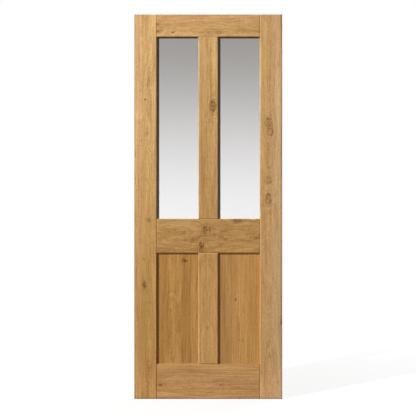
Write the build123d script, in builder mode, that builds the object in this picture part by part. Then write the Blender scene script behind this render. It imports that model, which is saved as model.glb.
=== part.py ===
from build123d import *
import os

# A framed interior door leaf: two tall lights over two flat panels, in a frame of stiles, rails and mullions.
# X runs to the right as seen from the front, Y from the front face to the back face, Z up.
# The origin is at the foot of the hinge edge, halfway through the thickness.
os.makedirs("parts", exist_ok=True)

# The leaf, in millimetres: a stock size for an inner door.
LEAF_WIDTH = 762
LEAF_HEIGHT = 1981
LEAF_THICKNESS = 35

# Face widths of the members, and the height of the panels under the lock rail.
STILE = 115
MULLION = 100
TOP_RAIL = 115
LOCK_RAIL = 176
BOTTOM_RAIL = 181
PANEL_HEIGHT = 571

# Every member is eased round both of its faces before the frame goes together, which leaves a fine V
# along each joint line.
ARRIS = 3

# Solid lipping glued along the two long edges, for the hinges and the latch to be cut into.
LIPPING = 10

# Mortice and tenon joints. A mortice is a little deeper than its tenon is long, for the glue.
TENON_THICKNESS = 12
RAIL_TENON = 60
MULLION_TENON = 30
MULLION_TENON_WIDTH = 60
GLUE_ROOM = 1.5
END_MARGIN = 20
TWIN_TENONS_FROM = 120

# A panel stands in a groove that runs round its opening.
PANEL_THICKNESS = 10
GROOVE = 10
PANEL_CLEARANCE = 2

# Glass lies in a rebate behind a front lip, bedded on tape and held from the back by mitred beads.
REBATE = 10
REBATE_ARRIS = 1
LIP_THICKNESS = 9
TAPE_THICKNESS = 1
TAPE_WIDTH = 7
TAPE_SETBACK = 1
GLASS_THICKNESS = 4
GLASS_CLEARANCE = 2
GLASS_ARRIS = 0.5
BEAD_SETBACK = 2
BEAD_ARRIS = 1.5

# Depths are measured from the middle of the leaf, towards the back.
BACK = LEAF_THICKNESS / 2
LIP_BACK = LIP_THICKNESS - LEAF_THICKNESS / 2
GLASS_FRONT = LIP_BACK + TAPE_THICKNESS
GLASS_BACK = GLASS_FRONT + GLASS_THICKNESS
BEAD_BACK = BACK - BEAD_SETBACK

# Places on the face, worked out from the sizes above.
MIDDLE = LEAF_WIDTH / 2
RAIL_LENGTH = LEAF_WIDTH - 2 * STILE
LOCK_RAIL_FOOT = BOTTOM_RAIL + PANEL_HEIGHT
LOCK_RAIL_HEAD = LOCK_RAIL_FOOT + LOCK_RAIL
TOP_RAIL_FOOT = LEAF_HEIGHT - TOP_RAIL

# The openings: both rows have the same width and stand over each other.
OPENING_WIDTH = (RAIL_LENGTH - MULLION) / 2
LIGHT_HEIGHT = TOP_RAIL_FOOT - LOCK_RAIL_HEAD
LIGHT_MIDDLE = LOCK_RAIL_HEAD + LIGHT_HEIGHT / 2
OPENING_X = {"left": STILE + OPENING_WIDTH / 2, "right": LEAF_WIDTH - STILE - OPENING_WIDTH / 2}

# The corners of an opening, clockwise from the top left as seen from the front.
CORNER_SIGNS = [(-1, 1), (1, 1), (1, -1), (-1, -1)]


def upright(depth):
    """The plane at a depth, parallel to the faces and looking out of the front."""
    return Plane.XZ.offset(-depth)


def tenons_between(low, high):
    """The foot and head of each tenon in a stretch of a rail's end: one tenon, or twins where it is long."""
    third = (high - low) / 3
    return [(low, low + third), (high - third, high)] if high - low > TWIN_TENONS_FROM else [(low, high)]


def write(piece, name):
    """Labels a finished piece and writes its file."""
    piece.label = name
    export_step(piece, f"parts/{name}.step")


# Foot, head and tenons of each rail. The tenons keep clear of the rebates and grooves along the rail's
# edges, and of the leaf's ends.
RAILS = {
    "top_rail": (
        TOP_RAIL_FOOT,
        LEAF_HEIGHT,
        tenons_between(TOP_RAIL_FOOT + REBATE, LEAF_HEIGHT - END_MARGIN),
    ),
    "lock_rail": (
        LOCK_RAIL_FOOT,
        LOCK_RAIL_HEAD,
        tenons_between(LOCK_RAIL_FOOT + GROOVE, LOCK_RAIL_HEAD - REBATE),
    ),
    "bottom_rail": (0, BOTTOM_RAIL, tenons_between(END_MARGIN, BOTTOM_RAIL - GROOVE)),
}

# Foot and head of each mullion.
MULLIONS = {
    "upper_mullion": (LOCK_RAIL_HEAD, TOP_RAIL_FOOT),
    "lower_mullion": (BOTTOM_RAIL, LOCK_RAIL_FOOT),
}

# Rebates round the two lights, open at the back and eased at the mouth.
with BuildPart() as rebates:
    for depth, run, taper in ((LIP_BACK, BACK - LIP_BACK, 0), (BACK - REBATE_ARRIS, REBATE_ARRIS, -45)):
        with BuildSketch(upright(depth)):
            with Locations(*[(x, LOCK_RAIL_HEAD - REBATE) for x in OPENING_X.values()]):
                Rectangle(
                    OPENING_WIDTH + 2 * REBATE,
                    LIGHT_HEIGHT + 2 * REBATE,
                    align=(Align.CENTER, Align.MIN),
                )
        extrude(amount=-run, taper=taper)

# Grooves round the two panels.
with BuildPart() as grooves:
    with BuildSketch(Plane.XZ):
        with Locations(*[(x, BOTTOM_RAIL - GROOVE) for x in OPENING_X.values()]):
            Rectangle(
                OPENING_WIDTH + 2 * GROOVE,
                PANEL_HEIGHT + 2 * GROOVE,
                align=(Align.CENTER, Align.MIN),
            )
    extrude(amount=PANEL_THICKNESS / 2, both=True)

# Mortices in the stiles for the rails, made as bars that run across from one stile to the other.
with BuildPart() as stile_mortices:
    with BuildSketch(Plane.XZ):
        for _, _, tenons in RAILS.values():
            for low, high in tenons:
                with Locations((MIDDLE, (low + high) / 2)):
                    Rectangle(RAIL_LENGTH + 2 * (RAIL_TENON + GLUE_ROOM), high - low)
    extrude(amount=TENON_THICKNESS / 2, both=True)

# Mortices in the rails for the mullions, made as bars that run up from one rail to the next.
with BuildPart() as rail_mortices:
    with BuildSketch(Plane.XZ):
        for foot, head in MULLIONS.values():
            with Locations((MIDDLE, (foot + head) / 2)):
                Rectangle(MULLION_TENON_WIDTH, head - foot + 2 * (MULLION_TENON + GLUE_ROOM))
    extrude(amount=TENON_THICKNESS / 2, both=True)

# The stiles run the full height, each with its lipping along the outer edge.
for side, edge, inward in (("left", 0, 1), ("right", LEAF_WIDTH, -1)):
    with BuildPart() as lipped_stile:
        with BuildSketch(Plane.XZ):
            with Locations((edge + inward * STILE / 2, LEAF_HEIGHT / 2)):
                Rectangle(STILE, LEAF_HEIGHT)
        extrude(amount=LEAF_THICKNESS / 2, both=True)
        chamfer(lipped_stile.faces().filter_by(Axis.Y).edges(), ARRIS)
        for cut in (rebates, grooves, stile_mortices):
            add(cut.part, mode=Mode.SUBTRACT)

    glue_line = Plane.YZ.offset(edge + inward * LIPPING)
    outer, inner = (Keep.BOTTOM, Keep.TOP) if inward > 0 else (Keep.TOP, Keep.BOTTOM)
    for name, kept in ((f"{side}_edge_lipping", outer), (f"{side}_stile", inner)):
        with BuildPart() as piece:
            add(lipped_stile.part)
            split(bisect_by=glue_line, keep=kept)
        write(piece.part, name)

# The rails stand between the stiles and carry tenons at both ends.
for name, (foot, head, tenons) in RAILS.items():
    with BuildPart() as rail:
        with BuildSketch(Plane.XZ):
            with Locations((MIDDLE, (foot + head) / 2)):
                Rectangle(RAIL_LENGTH, head - foot)
        extrude(amount=LEAF_THICKNESS / 2, both=True)
        chamfer(rail.faces().filter_by(Axis.Y).edges(), ARRIS)
        with BuildSketch(Plane.XZ):
            for low, high in tenons:
                with Locations((MIDDLE, (low + high) / 2)):
                    Rectangle(RAIL_LENGTH + 2 * RAIL_TENON, high - low)
        extrude(amount=TENON_THICKNESS / 2, both=True)
        for cut in (rebates, grooves, rail_mortices):
            add(cut.part, mode=Mode.SUBTRACT)
    write(rail.part, name)

# The mullions stand between the rails, tenoned into them at head and foot.
for name, (foot, head) in MULLIONS.items():
    with BuildPart() as mullion:
        with BuildSketch(Plane.XZ):
            with Locations((MIDDLE, (foot + head) / 2)):
                Rectangle(MULLION, head - foot)
        extrude(amount=LEAF_THICKNESS / 2, both=True)
        chamfer(mullion.faces().filter_by(Axis.Y).edges(), ARRIS)
        with BuildSketch(Plane.XZ):
            with Locations((MIDDLE, (foot + head) / 2)):
                Rectangle(MULLION_TENON_WIDTH, head - foot + 2 * MULLION_TENON)
        extrude(amount=TENON_THICKNESS / 2, both=True)
        for cut in (rebates, grooves):
            add(cut.part, mode=Mode.SUBTRACT)
    write(mullion.part, name)

# A flat panel stands on the floor of its groove, with room to move at the sides and the top.
for side, centre in OPENING_X.items():
    with BuildPart() as panel:
        with BuildSketch(Plane.XZ):
            with Locations((centre, BOTTOM_RAIL - GROOVE)):
                Rectangle(
                    OPENING_WIDTH + 2 * (GROOVE - PANEL_CLEARANCE),
                    PANEL_HEIGHT + 2 * GROOVE - PANEL_CLEARANCE,
                    align=(Align.CENTER, Align.MIN),
                )
        extrude(amount=PANEL_THICKNESS / 2, both=True)
    write(panel.part, f"{side}_panel")

# A pane stands on the floor of its rebate in the same way, with its edges ground off.
for side, centre in OPENING_X.items():
    with BuildPart() as pane:
        with BuildSketch(upright(GLASS_FRONT)):
            with Locations((centre, LOCK_RAIL_HEAD - REBATE)):
                Rectangle(
                    OPENING_WIDTH + 2 * (REBATE - GLASS_CLEARANCE),
                    LIGHT_HEIGHT + 2 * REBATE - GLASS_CLEARANCE,
                    align=(Align.CENTER, Align.MIN),
                )
        extrude(amount=-GLASS_THICKNESS)
        chamfer(pane.edges(), GLASS_ARRIS)
    write(pane.part, f"{side}_glass")

# Glazing tape lies between lip and glass. The upright strips run through, the others fit between them.
for side, centre in OPENING_X.items():
    half_width = OPENING_WIDTH / 2 + TAPE_SETBACK
    half_height = LIGHT_HEIGHT / 2 + TAPE_SETBACK
    across = (2 * half_width, TAPE_WIDTH)
    along = (TAPE_WIDTH, 2 * (half_height + TAPE_WIDTH))
    strips = {
        "top": ((0, half_height + TAPE_WIDTH / 2), across),
        "bottom": ((0, -half_height - TAPE_WIDTH / 2), across),
        "left": ((-half_width - TAPE_WIDTH / 2, 0), along),
        "right": ((half_width + TAPE_WIDTH / 2, 0), along),
    }
    for place, ((dx, dz), (width, height)) in strips.items():
        with BuildPart() as tape:
            with BuildSketch(upright(LIP_BACK)):
                with Locations((centre + dx, LIGHT_MIDDLE + dz)):
                    Rectangle(width, height)
            extrude(amount=-TAPE_THICKNESS)
        write(tape.part, f"{side}_tape_{place}")

# Beads fill the rebate behind the glass. They are mitred at the corners and eased along the sight line.
for side, centre in OPENING_X.items():
    sight_line, rebate_wall = (
        [
            (centre + sx * (OPENING_WIDTH / 2 + margin), LIGHT_MIDDLE + sz * (LIGHT_HEIGHT / 2 + margin))
            for sx, sz in CORNER_SIGNS
        ]
        for margin in (0, REBATE)
    )
    for start, place in enumerate(("top", "right", "bottom", "left")):
        end = (start + 1) % len(CORNER_SIGNS)
        with BuildPart() as bead:
            with BuildSketch(upright(GLASS_BACK)):
                with BuildLine():
                    Polyline(
                        sight_line[start], sight_line[end], rebate_wall[end], rebate_wall[start], close=True
                    )
                make_face()
            extrude(amount=GLASS_BACK - BEAD_BACK)
            sight_edge = bead.edges().group_by(Axis.Y)[-1].sort_by(SortBy.LENGTH)[-2]
            chamfer(sight_edge, BEAD_ARRIS)
        write(bead.part, f"{side}_bead_{place}")
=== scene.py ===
"""Finishes a glazed interior door leaf: oak veneers, clear panes, pinned beads and a small studio."""

import math
from typing import NamedTuple

import bmesh
import bpy
from bpy.props import FloatProperty, FloatVectorProperty, PointerProperty
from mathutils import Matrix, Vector


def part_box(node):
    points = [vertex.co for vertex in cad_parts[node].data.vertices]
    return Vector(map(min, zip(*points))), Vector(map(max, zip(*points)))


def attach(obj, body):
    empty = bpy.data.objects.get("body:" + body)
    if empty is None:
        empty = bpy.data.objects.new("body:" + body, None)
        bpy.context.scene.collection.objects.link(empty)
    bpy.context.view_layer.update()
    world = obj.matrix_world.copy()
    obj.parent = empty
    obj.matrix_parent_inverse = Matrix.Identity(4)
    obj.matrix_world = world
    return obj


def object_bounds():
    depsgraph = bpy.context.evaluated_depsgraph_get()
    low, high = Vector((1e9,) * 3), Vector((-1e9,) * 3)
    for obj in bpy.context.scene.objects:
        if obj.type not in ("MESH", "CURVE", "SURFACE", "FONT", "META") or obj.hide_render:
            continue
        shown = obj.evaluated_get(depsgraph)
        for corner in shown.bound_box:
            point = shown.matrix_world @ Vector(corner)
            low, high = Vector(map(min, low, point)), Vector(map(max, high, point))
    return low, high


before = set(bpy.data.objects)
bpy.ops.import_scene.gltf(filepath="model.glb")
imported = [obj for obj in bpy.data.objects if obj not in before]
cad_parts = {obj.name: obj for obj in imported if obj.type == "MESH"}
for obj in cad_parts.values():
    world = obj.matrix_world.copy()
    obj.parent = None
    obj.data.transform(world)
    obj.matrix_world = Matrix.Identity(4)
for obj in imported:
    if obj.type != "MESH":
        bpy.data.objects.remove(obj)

bl_info = {
    "name": "Glazed interior door",
    "version": (1, 0, 0),
    "blender": (4, 5, 0),
    "location": "View3D > Sidebar > Door",
    "description": "Oak finishes, panes, bead pins and a studio for a glazed door leaf",
    "category": "Object",
}

# The leaf as packed, in metres: X across from the hinge edge, Y towards the back, Z up.
LEAF_LOW, LEAF_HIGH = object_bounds()
LEAF_MIDDLE = (LEAF_LOW + LEAF_HIGH) / 2
SIDES = ("left", "right")
ROUND_A_LIGHT = ("top", "right", "bottom", "left")

# Which way the grain of a member runs.
ALONG_Z = "Z"
ALONG_X = "X"

# Where the joint of a member with a single stave is put: off every board.
NO_JOINT = 9.0

# White, which as a factor leaves a tone as it is.
WHITE = (1.0, 1.0, 1.0)

# How far up the leaf the tone grows paler towards the foot.
PALER_FOOT_HEIGHT = 0.24

# How far up the painted shade at the leaf's foot goes, and what it does to the tone at the very foot.
FOOT_SHADE_HEIGHT = 0.014
FOOT_SHADE_TINT = (0.74, 0.70, 0.64)

# Painted shade on the leaf's outer eased edges, as a factor on their tone.
OUTER_EDGE_SHADE = (0.62, 0.53, 0.41)

# How the strip of oak along each long edge differs from the veneer beside it: the right one is darker, as
# painted shade on the side away from the lamp.
LIPPING_SHADE = {"left": WHITE, "right": (0.86, 0.81, 0.74)}

# The photograph's frame: where its centre falls on the leaf's front, and what a pixel covers there.
PICTURE_PIXELS = 416
METRES_PER_PIXEL = 0.005148
PICTURE_CENTRE = Vector((0.3797, LEAF_LOW.y, 0.9838))


class Knot(NamedTuple):
    """A mark in the grain, by its middle on the face and its radius across the grain.

    Then how much longer than wide it is, how far it pushes the rings and fibres aside, and how dark its heart
    and its stain are.
    """

    x: float
    z: float
    radius: float
    stretch: float
    push: float = 3.4
    heart: float = 0.5
    stain: float = 0.5


def swelling(x, z, radius, stretch, stain=0.4):
    """A place where the rings bulge and the face cuts them in closed arches, with no heart in it."""
    return Knot(x, z, radius, stretch, push=3.8, heart=0.0, stain=stain)


def stripe(x, z, radius, stretch, stain):
    """A brown stripe along the grain."""
    return Knot(x, z, radius, stretch, push=0.0, heart=0.0, stain=stain)


def paler(x, z, radius, stretch, strength):
    """A paler patch along the grain."""
    return stripe(x, z, radius, stretch, -strength)


class Board(NamedTuple):
    """How a member was cut from its log and glued up, its knots and its tone.

    Then how the tone deepens to the foot, how much paler the lowest part is, how curly the grain is, how
    strongly the figure shows, and the tint of the eased edges: wear and painted highlight where lighter,
    painted shade where darker.
    """

    grain: str
    pith_across: float
    pith_behind: float
    slope: float
    wander: float
    seed: float
    tone: tuple
    knots: tuple = ()
    joint: float = NO_JOINT
    next_tone: tuple | None = None
    foot: tuple = WHITE
    paler_at_foot: tuple = WHITE
    curl: float = 0.1
    figure: float = 1.0
    # Lighter eased edges are partly wear and partly a painted highlight for arrises that catch the lamp.
    worn: tuple = (1.14, 1.22, 1.33)


def tinted(tone, tint):
    """A tone taken darker or warmer by a factor for each colour."""
    return tuple(part * factor for part, factor in zip(tone, tint))


def srgb(red, green, blue):
    """A linear colour from screen values of 0 to 255."""
    shares = (value / 255 for value in (red, green, blue))
    return tuple(
        share / 12.92 if share <= 0.04045 else ((share + 0.055) / 1.055) ** 2.4 for share in shares
    )


# The boards of the framing and the panels. Knots, stripes and patches lie where the photograph has them.
BOARDS = {
    "left_stile": Board(
        grain=ALONG_Z, pith_across=0.078, pith_behind=0.050, slope=0.010, wander=0.030, seed=3.0,
        tone=srgb(204, 166, 117),
        knots=(
            swelling(0.068, 1.500, 0.0120, 8.0),
            swelling(0.060, 1.372, 0.0100, 2.6, stain=0.44),
            swelling(0.072, 0.230, 0.0100, 8.0),
            Knot(0.056, 1.543, 0.0058, 1.1, heart=1.0, stain=0.4),
            Knot(0.075, 0.921, 0.0070, 1.3, heart=0.7),
            Knot(0.049, 0.721, 0.0055, 1.4, heart=0.6, stain=0.3),
            Knot(0.052, 0.587, 0.0085, 1.8, heart=1.0, stain=0.6),
            stripe(0.043, 0.440, 0.0260, 6.0, 0.9),
            stripe(0.008, 1.700, 0.0080, 24.0, 0.6),
            stripe(0.050, 1.060, 0.0070, 12.0, 0.7),
            paler(0.024, 1.459, 0.0110, 0.6, 2.4),
            paler(0.012, 1.140, 0.0110, 12.0, 0.8),
            paler(0.037, 1.890, 0.0080, 7.0, 0.7),
            paler(0.098, 1.690, 0.0110, 13.0, 0.9),
        ),
        joint=0.038,
        next_tone=srgb(196, 158, 103),
        foot=(0.88, 0.77, 0.58),
        paler_at_foot=(1.15, 1.17, 1.35),
    ),
    "right_stile": Board(
        grain=ALONG_Z, pith_across=0.690, pith_behind=0.045, slope=-0.012, wander=0.034, seed=11.0,
        tone=srgb(198, 159, 106),
        knots=(
            swelling(0.694, 1.385, 0.0110, 2.2),
            Knot(0.690, 1.425, 0.0120, 1.2, stain=0.8),
            Knot(0.699, 1.376, 0.0110, 1.2, heart=0.1, stain=0.7),
            stripe(0.692, 1.405, 0.0150, 1.4, 1.0),
            Knot(0.690, 1.127, 0.0135, 0.8, heart=0.0),
            Knot(0.687, 1.030, 0.0140, 1.3, stain=0.7),
            swelling(0.692, 1.240, 0.0090, 4.0),
            swelling(0.694, 0.170, 0.0110, 6.0, stain=0.44),
            Knot(0.758, 0.397, 0.0070, 1.6, heart=1.0),
            paler(0.684, 0.970, 0.0110, 4.0, 0.9),
            paler(0.748, 1.760, 0.0090, 9.0, 0.9),
        ),
        joint=0.707,
        next_tone=srgb(200, 163, 118),
        foot=(1.00, 0.98, 0.94),
        paler_at_foot=(1.24, 1.22, 1.30),
        figure=0.8,
    ),
    "top_rail": Board(
        grain=ALONG_X, pith_across=1.880, pith_behind=0.050, slope=0.020, wander=0.024, seed=23.0,
        tone=srgb(191, 151, 98),
        knots=(
            Knot(0.118, 1.931, 0.0070, 1.0, heart=1.0, stain=0.6),
            Knot(0.122, 1.895, 0.0075, 1.3, heart=1.0, stain=0.7),
            Knot(0.199, 1.888, 0.0052, 1.3, heart=1.0),
            swelling(0.380, 1.885, 0.0070, 6.0),
            stripe(0.270, 1.931, 0.0090, 8.0, 0.35),
            paler(0.400, 1.878, 0.0090, 16.0, 0.9),
        ),
        joint=1.936,
        next_tone=srgb(197, 154, 102),
        curl=0.8,
        figure=0.87,
    ),
    "lock_rail": Board(
        grain=ALONG_X, pith_across=0.845, pith_behind=0.045, slope=-0.016, wander=0.040, seed=31.0,
        tone=srgb(182, 142, 86),
        knots=(
            Knot(0.362, 0.835, 0.0330, 1.8, push=1.0, heart=0.0, stain=0.4),
            Knot(0.374, 0.872, 0.0130, 1.0, heart=0.6, stain=1.0),
            Knot(0.347, 0.785, 0.0185, 0.45, push=2.6, heart=1.0, stain=1.0),
            Knot(0.528, 0.915, 0.0085, 1.5, heart=0.8, stain=0.8),
            Knot(0.629, 0.829, 0.0060, 1.6, stain=0.6),
            stripe(0.358, 0.850, 0.0100, 2.5, 0.8),
            stripe(0.135, 0.852, 0.0080, 3.0, 0.6),
            paler(0.490, 0.787, 0.0160, 4.2, 1.2),
            swelling(0.240, 0.820, 0.0080, 6.0),
        ),
        curl=0.5,
    ),
    "bottom_rail": Board(
        grain=ALONG_X, pith_across=0.080, pith_behind=0.060, slope=0.014, wander=0.036, seed=47.0,
        tone=srgb(196, 151, 97),
        knots=(
            Knot(0.136, 0.073, 0.0060, 1.8, heart=0.8),
            Knot(0.450, 0.076, 0.0065, 2.0, heart=0.6, stain=0.4),
            stripe(0.128, 0.100, 0.0300, 0.6, 0.9),
            stripe(0.560, 0.050, 0.0030, 22.0, 0.3),
            paler(0.400, 0.036, 0.0080, 28.0, 0.6),
        ),
        joint=0.125,
        next_tone=srgb(195, 150, 94),
        figure=0.9,
        # Darker eased edges: painted shade that dims the lit top arris and darkens the foot arris.
        worn=(0.82, 0.78, 0.72),
    ),
    "upper_mullion": Board(
        grain=ALONG_Z, pith_across=0.400, pith_behind=0.040, slope=0.014, wander=0.026, seed=59.0,
        tone=srgb(193, 154, 99),
        knots=(
            Knot(0.404, 1.509, 0.0105, 1.7, heart=0.6, stain=1.0),
            swelling(0.398, 1.700, 0.0060, 7.0),
            stripe(0.354, 1.300, 0.0110, 18.0, 0.4),
            stripe(0.350, 1.620, 0.0090, 5.0, 0.6),
            stripe(0.372, 0.965, 0.0140, 2.6, 1.0),
            stripe(0.345, 1.555, 0.0110, 3.0, 0.9),
            stripe(0.405, 0.975, 0.0180, 1.8, 0.8),
            paler(0.412, 1.710, 0.0110, 7.0, 0.7),
        ),
    ),
    "lower_mullion": Board(
        grain=ALONG_Z, pith_across=0.376, pith_behind=0.055, slope=-0.010, wander=0.024, seed=67.0,
        tone=srgb(183, 140, 84),
        knots=(
            Knot(0.390, 0.692, 0.0040, 1.3, heart=0.9, stain=0.4),
            Knot(0.378, 0.364, 0.0040, 1.3, heart=0.8, stain=0.4),
            paler(0.416, 0.350, 0.0080, 10.0, 0.9),
            paler(0.352, 0.360, 0.0080, 12.0, 0.6),
        ),
        figure=0.88,
        # Much paler eased edges: a painted highlight along the mullion's arrises beside the panels.
        worn=(1.55, 1.75, 2.00),
    ),
    "left_panel": Board(
        grain=ALONG_Z, pith_across=0.190, pith_behind=0.050, slope=0.016, wander=0.050, seed=73.0,
        tone=srgb(180, 135, 74),
        knots=(
            Knot(0.257, 0.711, 0.0085, 0.8, heart=1.0, stain=0.7),
            swelling(0.188, 0.470, 0.0120, 3.0),
            swelling(0.188, 0.390, 0.0090, 2.2, stain=0.44),
            swelling(0.184, 0.280, 0.0120, 3.0),
            stripe(0.262, 0.300, 0.0150, 8.0, 0.6),
            stripe(0.248, 0.262, 0.0040, 10.0, 1.4),
            stripe(0.276, 0.230, 0.0040, 14.0, 0.8),
            stripe(0.132, 0.500, 0.0190, 16.0, 1.0),
            stripe(0.156, 0.640, 0.0130, 9.0, 1.0),
            paler(0.207, 0.420, 0.0120, 10.0, 0.9),
        ),
        figure=1.13,
    ),
    "right_panel": Board(
        grain=ALONG_Z, pith_across=0.540, pith_behind=0.045, slope=-0.014, wander=0.040, seed=83.0,
        tone=srgb(175, 131, 76),
        knots=(
            Knot(0.523, 0.511, 0.0065, 1.5, heart=1.0, stain=0.4),
            Knot(0.560, 0.299, 0.0035, 1.4, heart=0.8, stain=0.4),
            Knot(0.540, 0.304, 0.0035, 1.4, heart=0.6, stain=0.4),
            swelling(0.535, 0.350, 0.0080, 6.0),
            stripe(0.520, 0.650, 0.0180, 4.0, 0.4),
            paler(0.534, 0.420, 0.0080, 8.0, 0.7),
        ),
        joint=0.503,
        next_tone=srgb(190, 143, 81),
        figure=0.75,
    ),
}


class Graph:
    """Short calls that add nodes to one node tree.

    A value may be a plain number, a colour or another node's socket.
    """

    def __init__(self, tree):
        self.tree = tree

    def node(self, kind, inputs=None, **settings):
        made = self.tree.nodes.new(kind)
        for name, value in settings.items():
            setattr(made, name, value)
        for name, value in (inputs or {}).items():
            self.put(value, made.inputs[name])
        return made

    def put(self, value, socket):
        if isinstance(value, bpy.types.NodeSocket):
            self.tree.links.new(value, socket)
        elif value is not None:
            socket.default_value = value

    def coordinates(self, kind="Object"):
        return self.node("ShaderNodeTexCoord").outputs[kind]

    def math(self, operation, *values, clamp=False):
        made = self.node("ShaderNodeMath", operation=operation, use_clamp=clamp)
        for value, socket in zip(values, made.inputs):
            self.put(value, socket)
        return made.outputs[0]

    def centred(self, value):
        return self.math("SUBTRACT", value, 0.5)

    def length(self, a, b):
        return self.math("SQRT", self.math("ADD", self.math("POWER", a, 2.0), self.math("POWER", b, 2.0)))

    def vector_math(self, operation, a, b):
        made = self.node("ShaderNodeVectorMath", operation=operation)
        self.put(a, made.inputs[0])
        self.put(b, made.inputs[1])
        return made.outputs

    def scaled(self, vector, factors):
        return self.vector_math("MULTIPLY", vector, factors)[0]

    def separate(self, vector):
        return self.node("ShaderNodeSeparateXYZ", {"Vector": vector}).outputs

    def combine(self, x, y, z):
        return self.node("ShaderNodeCombineXYZ", {"X": x, "Y": y, "Z": z}).outputs[0]

    def noise(self, vector, detail, scale=1.0, roughness=0.5):
        return self.node(
            "ShaderNodeTexNoise",
            {"Vector": vector, "Scale": scale, "Detail": detail, "Roughness": roughness},
        ).outputs["Fac"]

    def noise_line(self, place, detail):
        return self.node(
            "ShaderNodeTexNoise",
            {"W": place, "Scale": 1.0, "Detail": detail, "Roughness": 0.5},
            noise_dimensions="1D",
        ).outputs["Fac"]

    def ramp(self, value, low, high, to_low=0.0, to_high=1.0, smooth=False):
        made = self.node(
            "ShaderNodeMapRange",
            {"Value": value, "From Min": low, "From Max": high, "To Min": to_low, "To Max": to_high},
            interpolation_type="SMOOTHSTEP" if smooth else "LINEAR",
        )
        return made.outputs["Result"]

    def blend(self, factor, a, b, mode="MIX"):
        made = self.node("ShaderNodeMix", data_type="RGBA", blend_type=mode)
        self.put(factor, made.inputs["Factor"])
        # The node has a pair of sockets for each type of data: 2 and 3 for values, 6 and 7 for colours.
        for value, socket in ((a, made.inputs[6]), (b, made.inputs[7])):
            self.put(value if isinstance(value, bpy.types.NodeSocket) else (*value[:3], 1.0), socket)
        return made.outputs[2]

    def blend_values(self, factor, a, b):
        made = self.node("ShaderNodeMix", data_type="FLOAT")
        for value, socket in ((factor, made.inputs[0]), (a, made.inputs[2]), (b, made.inputs[3])):
            self.put(value, socket)
        return made.outputs[0]

    def times(self, colour, factors):
        return self.blend(1.0, colour, factors, "MULTIPLY")

    def bump(self, strength, distance, height):
        inputs = {"Strength": strength, "Distance": distance, "Height": height}
        return self.node("ShaderNodeBump", inputs).outputs["Normal"]

    def mix_shaders(self, factor, first, second):
        made = self.node("ShaderNodeMixShader", {"Fac": factor})
        self.put(first.outputs[0], made.inputs[1])
        self.put(second.outputs[0], made.inputs[2])
        return made.outputs[0]


FLOAT = "NodeSocketFloat"
COLOUR = "NodeSocketColor"
VECTOR = "NodeSocketVector"


def floats(*labels):
    """Sockets for plain values, one to a label."""
    return {label: FLOAT for label in labels}


# A glued board's second stave was cut far from the pith, where the rings run straight, and has its own seeds.
STAVE_SHIFT = 0.11
STAVE_RING_SEED = 17.0
STAVE_FIBRE_SEED = 5.0

# How often in a metre the pith sways and dips, how much further it dips, and what sets dips off from sways.
PITH_SWAYS = 1.1
PITH_DIPS = 1.7
DIP_TO_SWAY = 3.0
DIP_SEED = 40.0

# Waves in the rings: how many to a metre each way, and how high, anywhere, in curly grain and near knots.
RIPPLES = (6.0, 40.0, 40.0)
RIPPLE_HEIGHT = 0.009
CURLS = (38.0, 70.0, 70.0)
CURL_HEIGHT = 0.003
CURLY_HEIGHT = 0.012
KNOTTY_HEIGHT = 0.014

# Changes of tone in a metre across and along the rings, the part of that noise that is drawn, years to a
# change, and how sharp a year's line is.
TONES_ACROSS = 110.0
TONES_ALONG = 2.5
TONES_DRAWN = (0.32, 0.68)
YEARS_TO_A_TONE = 0.8
LINE_SHARPNESS = 3.0


def build_rings(g, given):
    """Growth rings round a pith that wanders behind the face, so that the face cuts them in arches."""
    along, across, depth = g.separate(given["Position"])
    seed = g.math("MULTIPLY_ADD", given["Stave"], STAVE_RING_SEED, given["Seed"])
    drift = g.noise_line(g.math("MULTIPLY_ADD", along, PITH_SWAYS, seed), detail=1.0)
    sink = g.noise_line(g.math("MULTIPLY_ADD", along, PITH_DIPS, g.math("ADD", seed, DIP_SEED)), detail=2.0)
    sway = g.math("MULTIPLY", g.centred(drift), given["Wander"])
    dip = g.math("MULTIPLY", g.centred(sink), g.math("MULTIPLY", given["Wander"], DIP_TO_SWAY))
    moved = g.math("MULTIPLY_ADD", given["Stave"], STAVE_SHIFT, across)
    sideways = g.math("SUBTRACT", g.math("SUBTRACT", moved, given["Pith across"]), sway)
    behind = g.math("SUBTRACT", g.math("SUBTRACT", depth, given["Pith behind"]), dip)
    tilted = g.math("MULTIPLY_ADD", along, given["Slope"], behind)
    radius = g.length(sideways, tilted)
    ripple = g.noise(g.scaled(given["Position"], RIPPLES), detail=3.0)
    radius = g.math("MULTIPLY_ADD", g.centred(ripple), RIPPLE_HEIGHT, radius)
    curl = g.noise(g.scaled(given["Position"], CURLS), detail=2.0)
    lift = g.math("MULTIPLY_ADD", given["Swirl"], KNOTTY_HEIGHT, CURL_HEIGHT)
    lift = g.math("MULTIPLY_ADD", given["Curl"], CURLY_HEIGHT, lift)
    radius = g.math("MULTIPLY_ADD", g.centred(curl), lift, radius)
    radius = g.math("ADD", radius, given["Bend"])
    place = g.math("ADD", g.math("MULTIPLY", radius, TONES_ACROSS), seed)
    tone = g.noise(g.combine(g.math("MULTIPLY", along, TONES_ALONG), place, seed), detail=4.0, roughness=0.75)
    year = g.math("FRACT", g.math("MULTIPLY", place, YEARS_TO_A_TONE))
    line = g.math("POWER", g.math("SUBTRACT", 1.0, year), LINE_SHARPNESS)
    return {"Tone": g.ramp(tone, *TONES_DRAWN), "Line": line}


class Fibres(NamedTuple):
    """A kind of mark that runs with the grain: how many to a metre along and across it, and how broken up.

    Low and high are the part of the noise that is drawn, from nothing to full. Woven marks are shorter in
    curly grain.
    """

    along: float
    across: float
    detail: float
    roughness: float
    low: float
    high: float
    woven: bool = False


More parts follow.
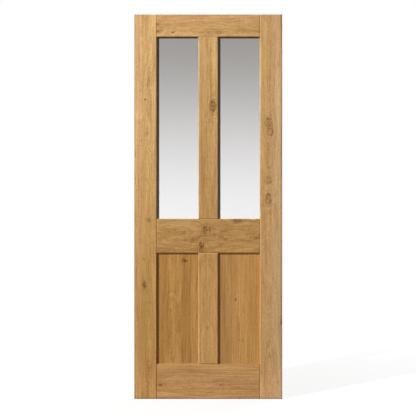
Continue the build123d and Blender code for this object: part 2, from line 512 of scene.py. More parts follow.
FIBRES = {
    "Streak": Fibres(2.0, 125.0, detail=4.0, roughness=0.70, low=0.32, high=0.68, woven=True),
    "Dash": Fibres(12.0, 200.0, detail=3.0, roughness=0.65, low=0.54, high=0.72, woven=True),
    "Grit": Fibres(110.0, 210.0, detail=3.0, roughness=0.75, low=0.30, high=0.70),
    "Pore": Fibres(90.0, 1500.0, detail=2.0, roughness=0.5, low=0.56, high=0.72),
    "Fleck": Fibres(55.0, 260.0, detail=2.0, roughness=0.5, low=0.62, high=0.78),
    "Drift": Fibres(1.6, 16.0, detail=3.0, roughness=0.5, low=0.30, high=0.70),
}

# How much shorter than plain ones the woven marks of the curliest grain are.
CURLY_SHORTENING = 6.0


def build_fibres(g, given):
    """What runs with the grain and flows round knots: streaks, pores, flecks of ray, slow changes of tone."""
    offset = g.math("MULTIPLY_ADD", given["Stave"], STAVE_FIBRE_SEED, given["Seed"])
    moved = g.combine(offset, g.math("SUBTRACT", offset, given["Flow"]), 0.0)
    position = g.vector_math("ADD", given["Position"], moved)[0]
    shortened = g.math("MULTIPLY_ADD", given["Curl"], CURLY_SHORTENING, 1.0)
    woven = g.scaled(position, g.combine(shortened, 1.0, 1.0))
    drawn = {}
    for mask, marks in FIBRES.items():
        start = woven if marks.woven else position
        place = g.scaled(start, (marks.along, marks.across, marks.across))
        noise = g.noise(place, detail=marks.detail, roughness=marks.roughness)
        drawn[mask] = g.ramp(noise, marks.low, marks.high)
    return drawn


# How far to each side of the joint between two staves the glue shows in full, and at all.
GLUE_FULL = 0.0001
GLUE_EDGE = 0.0004


def build_staves(g, given):
    """Which of two edge-glued staves a point lies in, and the hairline of glue between them."""
    _, across, _ = g.separate(given["Position"])
    beyond = g.math("SUBTRACT", across, given["Joint"])
    return {
        "Stave": g.math("GREATER_THAN", beyond, 0.0),
        "Seam": g.ramp(g.math("ABSOLUTE", beyond), GLUE_EDGE, GLUE_FULL),
    }


# What a knot leaves on the board. Each knot takes the marks of those before it and adds its own.
MARKS = ("Bend", "Heart", "Stain", "Pale", "Swirl", "Flow")

# How finely and how far a knot's outline wobbles. These and the sizes below are in the knot's own radii.
KNOT_WOBBLES = 1.6
KNOT_RAGGED = 1.9

# The bend of the rings round a knot: how wide it is, and where a cone in it starts and how steep that is.
BEND_WIDTH = 2.3
CONE_START = 1.2
CONE_STEEPNESS = 0.35

# Where the dark of a knot's heart begins and is full, the wobble that cracks it, and what a crack leaves.
HEART_RIM = 1.05
HEART_FULL = 0.45
CRACKS = (0.30, 0.55)
CRACKED = 0.55

# A knot's dark outline: where it runs, how wide it is, how often it breaks, the part of that noise from gap
# to line, how dark it is, and the stain that a knot needs to have one.
OUTLINE_RADIUS = 1.25
OUTLINE_WIDTH = 0.35
OUTLINE_BREAKS = 0.9
OUTLINE_GAPS = (0.36, 0.56)
OUTLINE_STRENGTH = 0.8
OUTLINE_STAIN = 0.45

# The stain that trails from a knot: how wide it is, how it sways, and how slowly it fades along the grain.
TRAIL_WIDTH = 1.5
TRAIL_SWAY = 1.5
TRAIL_ALONG = 0.55

# How far out the fibres part round a knot, and how much.
PARTING_WIDTH = 2.2
PARTING = 0.75


def build_knot(g, given):
    """One knot: how it pushes rings and fibres aside, its dark cracked heart and its trailing stain."""
    along, across, _ = g.separate(given["Position"])
    step_along = g.math("DIVIDE", g.math("SUBTRACT", along, given["Along"]), given["Radius"])
    step_across = g.math("DIVIDE", g.math("SUBTRACT", across, given["Across"]), given["Radius"])
    step_long = g.math("DIVIDE", step_along, given["Stretch"])

    def bell(value, width):
        squared = g.math("POWER", g.math("DIVIDE", value, width), 2.0)
        return g.math("EXPONENT", g.math("MULTIPLY", squared, -1.0))

    pushes = g.math("GREATER_THAN", given["Push"], 0.0)
    size = g.length(step_long, step_across)
    place = g.combine(step_long, step_across, given["Along"])
    wobble = g.noise(place, scale=KNOT_WOBBLES, detail=4.0, roughness=0.65)
    ragged = g.math("MULTIPLY_ADD", g.centred(wobble), KNOT_RAGGED, size)

    cone = g.math("MAXIMUM", g.math("SUBTRACT", CONE_START, ragged), 0.0)
    swell = g.math("ADD", bell(size, BEND_WIDTH), g.math("MULTIPLY", cone, CONE_STEEPNESS))
    bend = g.math("MULTIPLY", swell, g.math("MULTIPLY", given["Radius"], given["Push"]))

    cracked = g.ramp(wobble, *CRACKS, 1.0, CRACKED)
    heart = g.math("MULTIPLY", g.ramp(ragged, HEART_RIM, HEART_FULL, smooth=True), cracked)
    broken = g.noise(g.combine(step_across, step_long, given["Across"]), scale=OUTLINE_BREAKS, detail=2.0)
    ring = bell(g.math("SUBTRACT", ragged, OUTLINE_RADIUS), OUTLINE_WIDTH)
    outline = g.math("MULTIPLY", ring, g.ramp(broken, *OUTLINE_GAPS))
    outlined = g.math("MULTIPLY", g.math("GREATER_THAN", given["Stain strength"], OUTLINE_STAIN), pushes)
    outline = g.math("MULTIPLY", outline, outlined)
    drawn = g.math(
        "MAXIMUM",
        g.math("MULTIPLY", heart, given["Heart strength"]),
        g.math("MULTIPLY", outline, g.math("MULTIPLY", given["Stain strength"], OUTLINE_STRENGTH)),
    )

    swayed = g.math("MULTIPLY_ADD", g.centred(wobble), TRAIL_SWAY, step_across)
    trailed = bell(g.length(g.math("MULTIPLY", step_long, TRAIL_ALONG), swayed), TRAIL_WIDTH)
    trail = g.math("MULTIPLY", trailed, given["Stain strength"])
    swirl = g.math("MULTIPLY", trail, pushes)
    parting = g.math("MULTIPLY", g.math("MULTIPLY", bell(size, PARTING_WIDTH), pushes), PARTING)
    flow = g.math("MULTIPLY", g.math("SUBTRACT", across, given["Across"]), parting)
    return {
        "Bend": g.math("ADD", bend, given["Bend"]),
        "Heart": g.math("MAXIMUM", drawn, given["Heart"]),
        "Stain": g.math("MAXIMUM", trail, given["Stain"]),
        "Pale": g.math("MAXIMUM", g.math("MULTIPLY", trail, -1.0), given["Pale"]),
        "Swirl": g.math("MAXIMUM", swirl, given["Swirl"]),
        "Flow": g.math("ADD", flow, given["Flow"]),
    }


# How strongly the rings show, and how much more so near knots.
RING_CONTRAST = 0.50
KNOTTY_CONTRAST = 1.3

# How far each kind of mark moves the figure to light and dark, how far dashes darken it, and its mid level.
FIGURE_SHARES = {"Streak": 0.74, "Drift": 0.48, "Grit": 0.60}
DASH_SHARE = 0.50
FIGURE_MIDDLE = 0.42

# How strongly the line of a year shows, and how much more so near knots.
LINE_SHARE = 0.14
KNOTTY_LINE_SHARE = 0.45

# What parts of the figure make of the wood's own tone, as factors for red, green and blue.
EARLY_WOOD = (1.21, 1.30, 1.46)
LATE_WOOD = (0.67, 0.60, 0.46)
KNOTTY_LATE_WOOD = (0.38, 0.29, 0.18)
YEAR_LINE = (0.42, 0.34, 0.22)
KNOT_HEART = (0.15, 0.09, 0.06)

# What a pale patch makes of all that is under it.
PALE_PATCH = (1.20, 1.23, 1.28)

# What is laid over the figure: how strongly each mask shows, and what it makes of the wood's own tone.
LAYERS = {
    "Fleck": (0.20, (1.30, 1.45, 1.80)),
    "Pore": (0.38, (0.40, 0.30, 0.20)),
    "Stain": (0.45, (0.62, 0.52, 0.38)),
    "Seam": (0.35, (0.40, 0.30, 0.20)),
    "End grain": (0.55, (0.42, 0.34, 0.26)),
}

# The roughness of lacquered oak, and what the masks add to it.
OAK_ROUGHNESS = 0.40
ROUGHENED = {"Pore": 0.18, "Streak": 0.08, "End grain": 0.15}

# How high the rings stand, and what the masks add to the height.
RING_HEIGHT = 0.4
HEIGHTENED = {"Pore": -0.6, "Seam": -0.5, "Heart": 0.6}


def build_colouring(g, given):
    """Lays rings, fibres and knots over each other as colour, roughness and height."""

    def toned(tint):
        return g.times(given["Wood"], tint)

    def laid(mask, under):
        strength, tint = LAYERS[mask]
        return g.blend(g.math("MULTIPLY", given[mask], strength), under, toned(tint))

    def added(start, shares):
        for mask, share in shares.items():
            start = g.math("MULTIPLY_ADD", given[mask], share, start)
        return start

    contrast = g.math("MULTIPLY_ADD", given["Swirl"], KNOTTY_CONTRAST, RING_CONTRAST)
    level = g.math("MULTIPLY", g.centred(given["Tone"]), contrast)
    for mask, share in FIGURE_SHARES.items():
        level = g.math("MULTIPLY_ADD", g.centred(given[mask]), share, level)
    level = g.math("MULTIPLY_ADD", given["Dash"], DASH_SHARE, level)
    level = g.math("MULTIPLY_ADD", level, given["Figure"], FIGURE_MIDDLE, clamp=True)
    darkest = g.blend(given["Swirl"], toned(LATE_WOOD), toned(KNOTTY_LATE_WOOD))
    ringed = g.blend(level, toned(EARLY_WOOD), darkest)
    line_share = g.math("MULTIPLY_ADD", given["Swirl"], KNOTTY_LINE_SHARE, LINE_SHARE)
    lined = g.blend(g.math("MULTIPLY", given["Line"], line_share), ringed, toned(YEAR_LINE))
    stained = laid("Stain", laid("Pore", laid("Fleck", lined)))
    paled = g.blend(given["Pale"], stained, g.times(stained, PALE_PATCH))
    seamed = laid("Seam", g.blend(given["Heart"], paled, toned(KNOT_HEART)))
    # Eased edges take their board's tint: wear and painted highlight where lighter, painted shade where
    # darker.
    worn = g.blend(given["Edge"], seamed, g.times(seamed, given["Edge wear and light"]))
    return {
        "Colour": laid("End grain", worn),
        "Roughness": added(OAK_ROUGHNESS, ROUGHENED),
        "Height": added(g.math("MULTIPLY", given["Tone"], RING_HEIGHT), HEIGHTENED),
    }


# How square to an axis a face is when it is fully an eased edge, and when it isn't one at all.
EASED_FULL = 0.80
EASED_NONE = 0.95

# How squarely a face looks along the grain when it starts to be end grain, and when it is.
END_GRAIN_FROM = 0.6
END_GRAIN_FULL = 0.9


def build_edges(g, given):
    """Eased edges, whose faces lean between two axes, and ends, whose faces look along the grain."""
    normal = g.node("ShaderNodeNewGeometry").outputs["Normal"]
    nx, ny, nz = (g.math("ABSOLUTE", part) for part in g.separate(normal))
    largest = g.math("MAXIMUM", nx, g.math("MAXIMUM", ny, nz))
    facing = g.vector_math("DOT_PRODUCT", normal, given["Grain"])["Value"]
    return {
        "Edge": g.ramp(largest, EASED_NONE, EASED_FULL),
        "End grain": g.ramp(g.math("ABSOLUTE", facing), END_GRAIN_FROM, END_GRAIN_FULL),
    }


# The node groups that the boards share: what each is given, what it gives, and what builds it.
GROUPS = {
    "Glued staves": (
        {"Position": VECTOR, **floats("Joint")},
        floats("Stave", "Seam"),
        build_staves,
    ),
    "Knot": (
        {
            "Position": VECTOR,
            **floats("Along", "Across", "Radius", "Stretch", "Push", "Heart strength", "Stain strength"),
            **floats(*MARKS),
        },
        floats(*MARKS),
        build_knot,
    ),
    "Growth rings": (
        {
            "Position": VECTOR,
            **floats("Stave", "Pith across", "Pith behind", "Slope", "Wander", "Seed"),
            **floats("Curl", "Swirl", "Bend"),
        },
        floats("Tone", "Line"),
        build_rings,
    ),
    "Oak fibres": (
        {"Position": VECTOR, **floats("Stave", "Seed", "Curl", "Flow")},
        floats(*FIBRES),
        build_fibres,
    ),
    "Edges and ends": (
        {"Grain": VECTOR},
        floats("Edge", "End grain"),
        build_edges,
    ),
    "Oak colouring": (
        {
            "Wood": COLOUR,
            "Edge wear and light": COLOUR,
            **floats("Figure", "Tone", "Line", "Swirl", "Stain", "Pale", "Heart"),
            **floats(*FIBRES, "Seam", "Edge", "End grain"),
        },
        {"Colour": COLOUR, **floats("Roughness", "Height")},
        build_colouring,
    ),
}


def shared_group(name):
    """The shader node group of that name, built on its first use."""
    group = bpy.data.node_groups.get(name)
    if group:
        return group
    inputs, outputs, build = GROUPS[name]
    group = bpy.data.node_groups.new(name, "ShaderNodeTree")
    for label, kind in inputs.items():
        group.interface.new_socket(label, in_out="INPUT", socket_type=kind)
    for label, kind in outputs.items():
        group.interface.new_socket(label, in_out="OUTPUT", socket_type=kind)
    graph = Graph(group)
    given = graph.node("NodeGroupInput").outputs
    graph.node("NodeGroupOutput", build(graph, given))
    return group


def place_group(graph, name, inputs):
    """Puts a shared group into a material with its own values."""
    return graph.node("ShaderNodeGroup", inputs, node_tree=shared_group(name)).outputs


def new_material(name):
    """An empty node material: its graph and the socket that its surface goes to."""
    material = bpy.data.materials.new(name)
    material.use_nodes = True
    material.node_tree.nodes.clear()
    graph = Graph(material.node_tree)
    return material, graph, graph.node("ShaderNodeOutputMaterial").inputs["Surface"]


# How strongly the relief of the grain shows.
GRAIN_RELIEF = 0.5


def oak_material(name, board, finish):
    """Lacquered oak for one board, its rings, knots, staves and tone as the board says."""
    material, g, surface = new_material(name)
    x, y, z = g.separate(g.coordinates())
    upright = board.grain == ALONG_Z
    position = g.combine(z, x, y) if upright else g.combine(x, z, y)
    staves = place_group(g, "Glued staves", {"Position": position, "Joint": board.joint})
    common = {"Position": position, "Seed": board.seed, "Stave": staves["Stave"], "Curl": board.curl}
    marks = dict.fromkeys(MARKS, 0.0)
    for knot in board.knots:
        own = {
            "Position": position,
            "Along": knot.z if upright else knot.x,
            "Across": knot.x if upright else knot.z,
            "Radius": knot.radius,
            "Stretch": knot.stretch,
            "Push": knot.push,
            "Heart strength": knot.heart,
            "Stain strength": knot.stain,
        }
        made = place_group(g, "Knot", {**own, **marks})
        marks = {label: made[label] for label in MARKS}
    cut = {
        "Pith across": board.pith_across,
        "Pith behind": board.pith_behind,
        "Slope": board.slope,
        "Wander": board.wander,
        "Swirl": marks["Swirl"],
        "Bend": marks["Bend"],
    }
    rings = place_group(g, "Growth rings", {**common, **cut})
    fibres = place_group(g, "Oak fibres", {**common, "Flow": marks["Flow"]})
    edges = place_group(g, "Edges and ends", {"Grain": (0.0, 0.0, 1.0) if upright else (1.0, 0.0, 0.0)})
    wood = g.blend(staves["Stave"], board.tone, board.next_tone or board.tone)
    # The tone deepens to the foot, is paler low down, and takes painted shade at the very foot.
    fades = ((LEAF_HIGH.z, board.foot), (PALER_FOOT_HEIGHT, board.paler_at_foot), (FOOT_SHADE_HEIGHT, FOOT_SHADE_TINT))
    for height, foot in fades:
        above = g.ramp(z, LEAF_LOW.z, height, smooth=True)
        wood = g.times(wood, g.blend(above, foot, WHITE))
    masks = {label: source[label] for source in (rings, fibres, edges) for label in source.keys()}
    masks.update({label: marks[label] for label in ("Heart", "Stain", "Pale", "Swirl")})
    tones = {"Wood": wood, "Edge wear and light": (*board.worn, 1.0), "Figure": board.figure}
    coloured = place_group(g, "Oak colouring", {**tones, **masks, "Seam": staves["Seam"]})
    shader = g.node(
        "ShaderNodeBsdfPrincipled",
        {
            "Base Color": coloured["Colour"],
            "Roughness": coloured["Roughness"],
            "Normal": g.bump(GRAIN_RELIEF, finish.grain_depth, coloured["Height"]),
            "Specular IOR Level": finish.sheen,
        },
    )
    g.put(shader.outputs["BSDF"], surface)
    return material


# The glass: waves to a metre, how high they are and how strongly they show, and how much it bends light.
GLASS_WAVES = 6.0
GLASS_WAVE_HEIGHT = 0.0005
GLASS_RELIEF = 0.02
GLASS_IOR = 1.5


def pane_material(name, finish):
    """Clear float glass that lets lamps and bounced light pass."""
    material, g, surface = new_material(name)
    waves = g.noise(g.coordinates(), scale=GLASS_WAVES, detail=1.0)
    glass = g.node(
        "ShaderNodeBsdfPrincipled",
        {
            "Base Color": (*finish.tint, 1.0),
            "Roughness": 0.0,
            "IOR": GLASS_IOR,
            "Transmission Weight": 1.0,
            "Normal": g.bump(GLASS_RELIEF, GLASS_WAVE_HEIGHT, waves),
        },
    )
    path = g.node("ShaderNodeLightPath").outputs
    passing = g.math("MAXIMUM", path["Is Shadow Ray"], path["Is Diffuse Ray"])
    g.put(g.mix_shaders(passing, glass, g.node("ShaderNodeBsdfTransparent")), surface)
    return material


# Foam: cells to a metre, how deep they are, how strongly they show, the tone of their walls, the roughness.
FOAM_CELLS = 2600.0
FOAM_DEPTH = 0.0002
FOAM_RELIEF = 0.4
FOAM_WALL = (0.09, 0.08, 0.07)
FOAM_ROUGHNESS = (0.75, 0.95)


def tape_material(name, finish):
    """Dark closed-cell foam with a fine open surface."""
    material, g, surface = new_material(name)
    cells = g.noise(g.coordinates(), scale=FOAM_CELLS, detail=2.0)
    shader = g.node(
        "ShaderNodeBsdfPrincipled",
        {
            "Base Color": g.blend(cells, finish.tape, FOAM_WALL),
            "Roughness": g.ramp(cells, 0.0, 1.0, *FOAM_ROUGHNESS),
            "Normal": g.bump(FOAM_RELIEF, FOAM_DEPTH, cells),
        },
    )
    g.put(shader.outputs["BSDF"], surface)
    return material


# Steel: dull specks to a metre, the part of that noise from bright to dull, the tone of the dull ones, and
# the roughness from bright to dull.
STEEL_SPECKS = 900.0
STEEL_DULLED = (0.2, 0.8)
DULL_STEEL = (0.30, 0.29, 0.28)
STEEL_ROUGHNESS = (0.25, 0.5)


def steel_material(name, finish):
    """Bright steel wire, dulled a little where it was punched."""
    material, g, surface = new_material(name)
    dull = g.noise(g.coordinates(), scale=STEEL_SPECKS, detail=3.0)
    shader = g.node(
        "ShaderNodeBsdfPrincipled",
        {
            "Base Color": g.blend(dull, finish.pin, DULL_STEEL),
            "Metallic": 1.0,
            "Roughness": g.ramp(dull, *STEEL_DULLED, *STEEL_ROUGHNESS),
        },
    )
    g.put(shader.outputs["BSDF"], surface)
    return material


def dress(node, material):
    """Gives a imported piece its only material."""
    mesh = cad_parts[node].data
    mesh.materials.clear()
    mesh.materials.append(material)


class DoorOak(bpy.types.PropertyGroup):
    """The lacquered oak."""

    grain_depth: FloatProperty(
        name="Grain depth", description="Height of the pores and rings", default=0.00012, subtype="DISTANCE"
    )
    sheen: FloatProperty(
        name="Sheen", description="How strongly the satin lacquer mirrors", default=0.3, min=0.0, max=1.0
    )


class DoorTrim(bpy.types.PropertyGroup):
    """Glass, tape and pins."""

    tint: FloatVectorProperty(
        name="Glass tint", description="Colour of the clear panes",
        default=(0.98, 0.99, 0.985), subtype="COLOR",
    )
    tape: FloatVectorProperty(
        name="Tape", description="Colour of the glazing tape",
        default=(0.045, 0.040, 0.036), subtype="COLOR",
    )
    pin: FloatVectorProperty(
        name="Pins", description="Colour of the bead pins",
        default=(0.62, 0.60, 0.57), subtype="COLOR",
    )
    pin_diameter: FloatProperty(
        name="Pin head", description="Width of a bead pin's head", default=0.0016, subtype="DISTANCE"
    )
    pin_pitch: FloatProperty(
        name="Pin pitch", description="Largest distance between two pins", default=0.150, subtype="DISTANCE"
    )


class DoorStudio(bpy.types.PropertyGroup):
    """Floor, backdrop, lamps and camera."""

    camera_distance: FloatProperty(
        name="Camera distance", description="From the lens to the leaf's front",
        default=4.2, subtype="DISTANCE",
    )
    key_place: FloatVectorProperty(
        name="Key lamp", description="Where the main lamp stands",
        default=(-4.5, -4.15, 4.5), subtype="TRANSLATION",
    )
    key_size: FloatProperty(
        name="Key size", description="Width of the main lamp", default=0.25, subtype="DISTANCE"
    )
    key_power: FloatProperty(name="Key power", description="Main lamp, in watts", default=708.0, unit="POWER")
    back_place: FloatVectorProperty(
        name="Back lamp", description="Where the lamp behind the leaf stands",
        default=(4.2, 3.4, 3.4), subtype="TRANSLATION",
    )
    back_size: FloatProperty(
        name="Back size", description="Width of the lamp behind the leaf", default=1.6, subtype="DISTANCE"
    )
    back_power: FloatProperty(
        name="Back power", description="Lamp behind the leaf, in watts", default=160.0, unit="POWER"
    )
    front_fill: FloatProperty(
        name="Front fill", description="Soft light from the camera's side of the room", default=0.12
    )
    front_tint: FloatVectorProperty(
        name="Front tint", description="Colour of that light",
        default=(1.0, 0.70, 0.46), subtype="COLOR",
    )
    back_fill: FloatProperty(name="Back fill", description="Soft light from behind the leaf", default=0.5)
    front_mirrored: FloatProperty(
        name="Room in reflections", description="How bright the camera's side looks in a mirror", default=0.6
    )
    floor_colour: FloatVectorProperty(
        name="Floor", description="Colour of the studio floor",
        default=(0.26, 0.21, 0.16), subtype="COLOR",
    )
    shade: FloatProperty(
        name="Floor shade", description="How much of the shadow the white floor shows", default=0.16
    )
    card_top: FloatVectorProperty(
        name="Card top", description="Head of the graduated card behind each pane",
        default=(0.0605, 0.0600, 0.0605), subtype="COLOR",
    )
    card_foot: FloatVectorProperty(
        name="Card foot", description="Foot of the graduated card behind each pane",
        default=(0.176, 0.178, 0.183), subtype="COLOR",
    )
    card_light: FloatProperty(
        name="Card light", description="Strength of the sun that lights the cards alone", default=22.0
    )


class DOOR_OT_frame(bpy.types.Operator):
    """Veneer the stiles, rails and mullions"""

    bl_idname = "door.frame"
    bl_label = "Veneer the framing"

    def execute(self, context):
        finish = context.scene.door_oak
        for node in ("top_rail", "lock_rail", "bottom_rail", "upper_mullion", "lower_mullion"):
            dress(node, oak_material(f"oak_{node}", BOARDS[node], finish))
        for side in SIDES:
            board = BOARDS[f"{side}_stile"]
            dress(f"{side}_stile", oak_material(f"oak_{side}_stile", board, finish))
            # The lippings take painted shade: darker outer eased edges, and on the right a darker tone all
            # over.
            shaded_edge_board = board._replace(
                tone=tinted(board.tone, LIPPING_SHADE[side]),
                next_tone=tinted(board.next_tone, LIPPING_SHADE[side]),
                worn=OUTER_EDGE_SHADE,
            )
            dress(f"{side}_edge_lipping", oak_material(f"oak_{side}_edge", shaded_edge_board, finish))
        return {"FINISHED"}


class DOOR_OT_panels(bpy.types.Operator):
    """Veneer the two panels"""

    bl_idname = "door.panels"
    bl_label = "Veneer the panels"

    def execute(self, context):
        for side in SIDES:
            node = f"{side}_panel"
            dress(node, oak_material(f"oak_{node}", BOARDS[node], context.scene.door_oak))
        return {"FINISHED"}


# How the stock of the beads was cut. Each bead has its pith a little beside it, and a seed of its own.
BEAD_STOCK = Board(
    grain=ALONG_Z, pith_across=0.03, pith_behind=0.05, slope=0.006, wander=0.01, seed=101.0,
    tone=srgb(192, 148, 98),
)
SEEDS_TO_A_LIGHT = 10


class DOOR_OT_beads(bpy.types.Operator):
    """Finish the glazing beads, each with its grain along its length"""

    bl_idname = "door.beads"
    bl_label = "Finish the beads"

    def execute(self, context):
        for number, side in enumerate(SIDES):
            for turn, place in enumerate(ROUND_A_LIGHT):
                node = f"{side}_bead_{place}"
                low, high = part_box(node)
                across_x = place in ("top", "bottom")
                middle = (low.z + high.z) / 2 if across_x else (low.x + high.x) / 2
                board = BEAD_STOCK._replace(
                    grain=ALONG_X if across_x else ALONG_Z,
                    pith_across=middle + BEAD_STOCK.pith_across,
                    seed=BEAD_STOCK.seed + SEEDS_TO_A_LIGHT * number + turn,
                )
                dress(node, oak_material(f"oak_{node}", board, context.scene.door_oak))
        return {"FINISHED"}


class DOOR_OT_pins(bpy.types.Operator):
    """Punch pins through the beads at the back"""

    bl_idname = "door.pins"
    bl_label = "Pin the beads"

    def execute(self, context):
        trim = context.scene.door_trim
        steel = steel_material("pin_steel", trim)
        for side in SIDES:
            mesh = bpy.data.meshes.new(f"{side}_bead_pins")
            shape = bmesh.new()
            for place in ROUND_A_LIGHT:
                low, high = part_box(f"{side}_bead_{place}")
                for x, z in pin_places(low, high, trim.pin_pitch):
                    add_pin(shape, Vector((x, high.y, z)), trim.pin_diameter)
            shape.faces.sort(key=face_order)
            shape.to_mesh(mesh)
            shape.free()
            mesh.materials.append(steel)
            pins = bpy.data.objects.new(f"{side}_bead_pins", mesh)
            context.scene.collection.objects.link(pins)
            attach(pins, "root")
        return {"FINISHED"}


# How far from a bead's end its first pin is, in widths of the bead, so that it clears the mitre.
PIN_INSET = 3

# A pin's head: its facets round and from rim to rim, and how high it is for its radius.
PIN_FACETS = {"u_segments": 10, "v_segments": 6}
PIN_DOME = 0.25

# What a face's place counts in each direction, for the order of the faces.
FACE_ORDER = Vector((1.0, 10.0, 100.0))


def pin_places(low, high, pitch):
    """Where the pins of a bead go: along its middle, evenly, and clear of its mitres."""
    width, height = high.x - low.x, high.z - low.z
    length, inset = max(width, height), min(width, height) * PIN_INSET
    count = math.ceil((length - 2 * inset) / pitch) + 1
    step = (length - 2 * inset) / (count - 1)
    middle_x, middle_z = (low.x + high.x) / 2, (low.z + high.z) / 2
    for number in range(count):
        run = inset + step * number
        yield (low.x + run, middle_z) if width > height else (middle_x, low.z + run)


def add_pin(shape, place, diameter):
    """A low domed pin head on the bead's face."""
    head = bmesh.ops.create_uvsphere(shape, **PIN_FACETS, radius=diameter / 2)["verts"]
    bmesh.ops.scale(shape, vec=(1.0, PIN_DOME, 1.0), verts=head)
    bmesh.ops.translate(shape, vec=place, verts=head)


def face_order(face):
    """A number that puts faces in one order, since Blender makes a ball's faces in no fixed order."""
    return face.calc_center_median().dot(FACE_ORDER)


class DOOR_OT_glazing(bpy.types.Operator):
    """Clear the panes and colour the tape behind the lips"""

    bl_idname = "door.glazing"
    bl_label = "Glaze the lights"

    def execute(self, context):
        trim = context.scene.door_trim
        glass = pane_material("clear_glass", trim)
        tape = tape_material("glazing_tape", trim)
        for side in SIDES:
            dress(f"{side}_glass", glass)
            for place in ROUND_A_LIGHT:
                dress(f"{side}_tape_{place}", tape)
        return {"FINISHED"}


# How much of a direction has to point to the front or back for the room to have fully turned that way.
ROOM_TURN = 0.35

# How far from the leaf's middle the floor starts to lose its shadow, and has lost it.
SHADOW_FADE = (0.4, 2.6)

# How far out the floor, where it is mirrored, starts to take the tone of the room in front, and has taken it.
FLOOR_FADE = (4.0, 14.0)

# The floor: how far it reaches, marks to a metre, how strongly they show, and the white that the camera sees.
FLOOR_REACH = 40.0
FLOOR_MARKS = 40.0
FLOOR_MARK_SHARE = 0.1
FLOOR_WHITE = (0.98, 0.98, 0.98)

# How far behind its pane a card hangs, and how the fade up it is shared between an eased run and an even one.
CARD_GAP = 0.0003
CARD_EASED = 0.65
CARD_EVEN = 0.35


def seen_rays(g):
    """Rays that see a white studio, and rays that glass or wood mirrors.

    The first are the camera's own and those that go straight through glass.
    """
    path = g.node("ShaderNodeLightPath").outputs
    straight = g.math("SUBTRACT", path["Is Transmission Ray"], path["Glossy Depth"], clamp=True)
    seen = g.math("MAXIMUM", path["Is Camera Ray"], straight)
    return seen, g.math("MAXIMUM", path["Is Glossy Ray"], path["Is Transmission Ray"])


def build_world(scene, studio):
    """White where it is seen, soft light from the front, and more of it from behind the leaf."""
    world = bpy.data.worlds.new("studio")
    scene.world = world
    world.use_nodes = True
    world.node_tree.nodes.clear()
    g = Graph(world.node_tree)
    seen, glossy = seen_rays(g)
    _, towards_back, _ = g.separate(g.coordinates("Generated"))
    behind = g.ramp(towards_back, -ROOM_TURN, ROOM_TURN, smooth=True)
    lit = g.ramp(behind, 0.0, 1.0, studio.front_fill, studio.back_fill)
    mirrored = g.ramp(behind, 0.0, 1.0, studio.front_mirrored, 1.0)
    strength = g.math("MAXIMUM", g.blend_values(glossy, lit, mirrored), seen)
    tint = g.blend(g.math("MAXIMUM", behind, seen), studio.front_tint, WHITE)
    backdrop = g.node("ShaderNodeBackground", {"Color": tint, "Strength": strength})
    g.put(backdrop.outputs[0], g.node("ShaderNodeOutputWorld").inputs["Surface"])


def floor_material(studio):
    """A floor that the camera sees white but for the leaf's shadow, and that returns a pale brown light.

    Where glass or wood mirrors it from far off, it meets the room's tone, and no horizon shows in the panes.
    """
    material, g, surface = new_material("studio_floor")
    x, y, _ = g.separate(g.coordinates())
    away = g.length(g.math("SUBTRACT", x, LEAF_MIDDLE.x), y)
    seen, glossy = seen_rays(g)
    white = g.math("MAXIMUM", seen, glossy)
    marked = g.noise(g.coordinates(), scale=FLOOR_MARKS, detail=3.0)
    tone = g.blend(g.math("MULTIPLY", marked, FLOOR_MARK_SHARE), studio.floor_colour, WHITE)
    lit = g.node("ShaderNodeBsdfDiffuse", {"Color": g.blend(white, tone, FLOOR_WHITE)})
    in_front = g.ramp(g.math("DIVIDE", y, away), ROOM_TURN, -ROOM_TURN, smooth=True)
    far = g.math("MULTIPLY", g.ramp(away, *FLOOR_FADE, smooth=True), in_front)
    fading = g.math("MULTIPLY", far, g.math("SUBTRACT", glossy, seen, clamp=True))
    room = tinted(studio.front_tint, [studio.front_mirrored] * 3)
    glow = g.node("ShaderNodeEmission", {"Color": g.blend(fading, WHITE, room), "Strength": 1.0})
    share = g.ramp(away, *SHADOW_FADE, 1.0 - studio.shade, 1.0, smooth=True)
    g.put(g.mix_shaders(g.math("MULTIPLY", share, white), lit, glow), surface)
    return material


def card_material(studio):
    """A matt card that fades from grey at its head to white at its foot, seen from its front only."""
    material, g, surface = new_material("studio_card")
    _, _, up = g.separate(g.coordinates("Generated"))
    eased = g.ramp(up, 0.0, 1.0, smooth=True)
    rise = g.math("MULTIPLY_ADD", eased, CARD_EASED, g.math("MULTIPLY", up, CARD_EVEN))
    face = g.node("ShaderNodeBsdfDiffuse", {"Color": g.blend(rise, studio.card_foot, studio.card_top)})
    back = g.node("ShaderNodeNewGeometry").outputs["Backfacing"]
    g.put(g.mix_shaders(back, face, g.node("ShaderNodeBsdfTransparent")), surface)
    return material


def flat_sheet(name, corners, material):
    """A flat stage piece from its four corners."""
    mesh = bpy.data.meshes.new(name)
    mesh.from_pydata([tuple(c) for c in corners], [], [(0, 1, 2, 3)])
    mesh.materials.append(material)
    sheet = bpy.data.objects.new(name, mesh)
    bpy.context.scene.collection.objects.link(sheet)
    return sheet


def add_lamp(name, kind, place, target, size, power):
    """A square lamp of a width, or a sun of an angle, turned to a target."""
    data = bpy.data.lights.new(name, kind)
    if kind == "SUN":
        data.angle = size
    else:
        data.size = size
    data.energy = power
    lamp = bpy.data.objects.new(name, data)
    lamp.location = place
    lamp.rotation_mode = "QUATERNION"
    lamp.rotation_quaternion = (target - place).to_track_quat("-Z", "Y")
    bpy.context.scene.collection.objects.link(lamp)
    return lamp


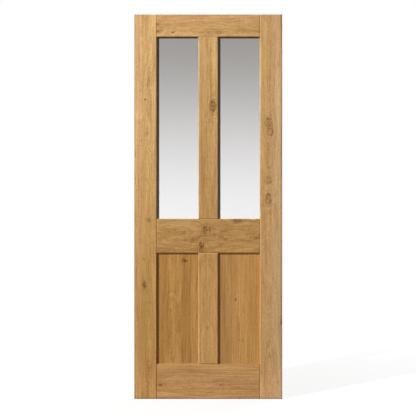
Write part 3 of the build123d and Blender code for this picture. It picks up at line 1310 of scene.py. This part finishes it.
class DOOR_OT_studio(bpy.types.Operator):
    """Set up floor, backdrop, lamps and camera"""

    bl_idname = "door.studio"
    bl_label = "Set up the studio"

    def execute(self, context):
        studio = context.scene.door_studio
        build_world(context.scene, studio)
        turns = ((-1, -1), (1, -1), (1, 1), (-1, 1))
        corners = [(x * FLOOR_REACH, y * FLOOR_REACH, 0) for x, y in turns]
        flat_sheet("studio_floor", corners, floor_material(studio))
        self.hang_cards(context, studio)
        self.light(studio)
        self.set_camera(context, studio)
        context.scene.view_settings.view_transform = "Standard"
        return {"FINISHED"}

    def light(self, studio):
        """The main lamp, a broad one behind, and a sun from the main lamp's side for the cards alone."""
        place = Vector(studio.key_place)
        add_lamp("key", "AREA", place, LEAF_MIDDLE, studio.key_size, studio.key_power)
        add_lamp("back", "AREA", Vector(studio.back_place), LEAF_MIDDLE, studio.back_size, studio.back_power)
        pane_low, pane_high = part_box("left_glass")
        corner = Vector((pane_low.x, pane_low.y, pane_high.z))
        angle = studio.key_size / (place - corner).length
        sun = add_lamp("card_sun", "SUN", place, corner, angle, studio.card_light)
        sun.light_linking.receiver_collection = bpy.data.collections["cards"]

    def hang_cards(self, context, studio):
        """A card close behind each pane, seen only through the glass."""
        material = card_material(studio)
        cards = bpy.data.collections.new("cards")
        context.scene.collection.children.link(cards)
        for side in SIDES:
            _, glass_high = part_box(f"{side}_glass")
            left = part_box(f"{side}_bead_left")[1].x
            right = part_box(f"{side}_bead_right")[0].x
            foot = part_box(f"{side}_bead_bottom")[1].z
            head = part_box(f"{side}_bead_top")[0].z
            depth = glass_high.y + CARD_GAP
            corners = [(left, depth, foot), (right, depth, foot), (right, depth, head), (left, depth, head)]
            card = flat_sheet(f"studio_card_{side}", corners, material)
            card.visible_camera = False
            card.visible_diffuse = False
            card.visible_glossy = False
            card.visible_shadow = False
            cards.objects.link(card)

    def set_camera(self, context, studio):
        """The photograph's view: level and square to the front."""
        data = bpy.data.cameras.new("camera")
        data.lens = data.sensor_width * studio.camera_distance / (PICTURE_PIXELS * METRES_PER_PIXEL)
        camera = bpy.data.objects.new("camera", data)
        camera.location = PICTURE_CENTRE - Vector((0.0, studio.camera_distance, 0.0))
        camera.rotation_euler = (math.radians(90), 0.0, 0.0)
        context.scene.collection.objects.link(camera)
        context.scene.camera = camera


STEPS = (DOOR_OT_frame, DOOR_OT_panels, DOOR_OT_beads, DOOR_OT_pins, DOOR_OT_glazing, DOOR_OT_studio)


class DOOR_PT_panel(bpy.types.Panel):
    """The steps and settings of the door"""

    bl_idname = "DOOR_PT_panel"
    bl_label = "Glazed door"
    bl_space_type = "VIEW_3D"
    bl_region_type = "UI"
    bl_category = "Door"

    def draw(self, context):
        for step in STEPS:
            self.layout.operator(step.bl_idname)
        for group in (context.scene.door_oak, context.scene.door_trim, context.scene.door_studio):
            box = self.layout.box()
            for name in group.bl_rna.properties.keys():
                if name not in ("rna_type", "name"):
                    box.prop(group, name)


CLASSES = (DoorOak, DoorTrim, DoorStudio, *STEPS, DOOR_PT_panel)


def register():
    for made in CLASSES:
        bpy.utils.register_class(made)
    bpy.types.Scene.door_oak = PointerProperty(type=DoorOak)
    bpy.types.Scene.door_trim = PointerProperty(type=DoorTrim)
    bpy.types.Scene.door_studio = PointerProperty(type=DoorStudio)


def unregister():
    del bpy.types.Scene.door_studio
    del bpy.types.Scene.door_trim
    del bpy.types.Scene.door_oak
    for made in reversed(CLASSES):
        bpy.utils.unregister_class(made)


def main():
    """Registers the tools and runs them in order."""
    register()
    bpy.ops.door.frame()
    bpy.ops.door.panels()
    bpy.ops.door.beads()
    bpy.ops.door.pins()
    bpy.ops.door.glazing()
    bpy.ops.door.studio()


if __name__ == "__main__":
    main()
